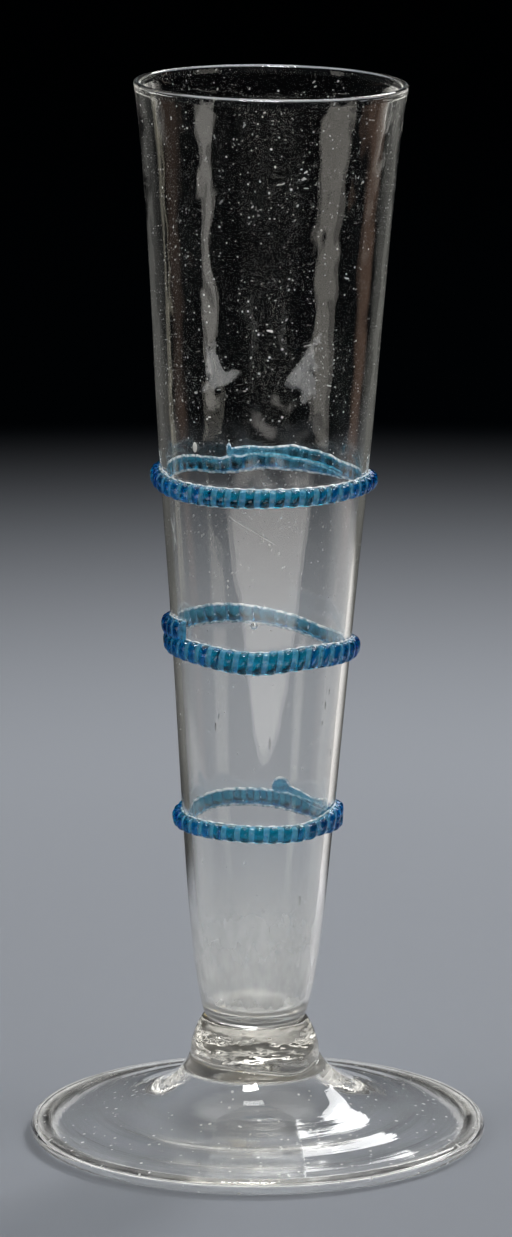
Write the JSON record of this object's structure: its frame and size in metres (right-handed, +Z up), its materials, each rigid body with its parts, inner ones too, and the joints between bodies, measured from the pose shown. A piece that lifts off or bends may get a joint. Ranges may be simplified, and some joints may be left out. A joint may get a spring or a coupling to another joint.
{
  "type": "tall footed glass beaker",
  "caption": "Tall tapered drinking beaker of clear blown glass on a spreading folded foot, with notched blue glass threads laid round it.",
  "frame": {"origin": "middle of the ring on which the foot rests, on the table", "axes": "+Z up towards the rim, +X the way the bowl leans, -Y towards the front"},
  "size_m": [0.1032, 0.1032, 0.2404],
  "materials": {
    "clear_glass": "fire-polished, with seeds, fine striae and a faint warm grey tint",
    "blue_glass": "fire-polished turquoise blue",
    "broken_glass": "rough broken stub of clear glass"
  },
  "bodies": {
    "root": {"foot": "clear_glass", "pontil_mark": "broken_glass", "collar": "clear_glass", "bowl": "clear_glass", "upper_thread": "blue_glass", "middle_thread": "blue_glass", "lower_thread": "blue_glass"}
  },
  "joints": []
}
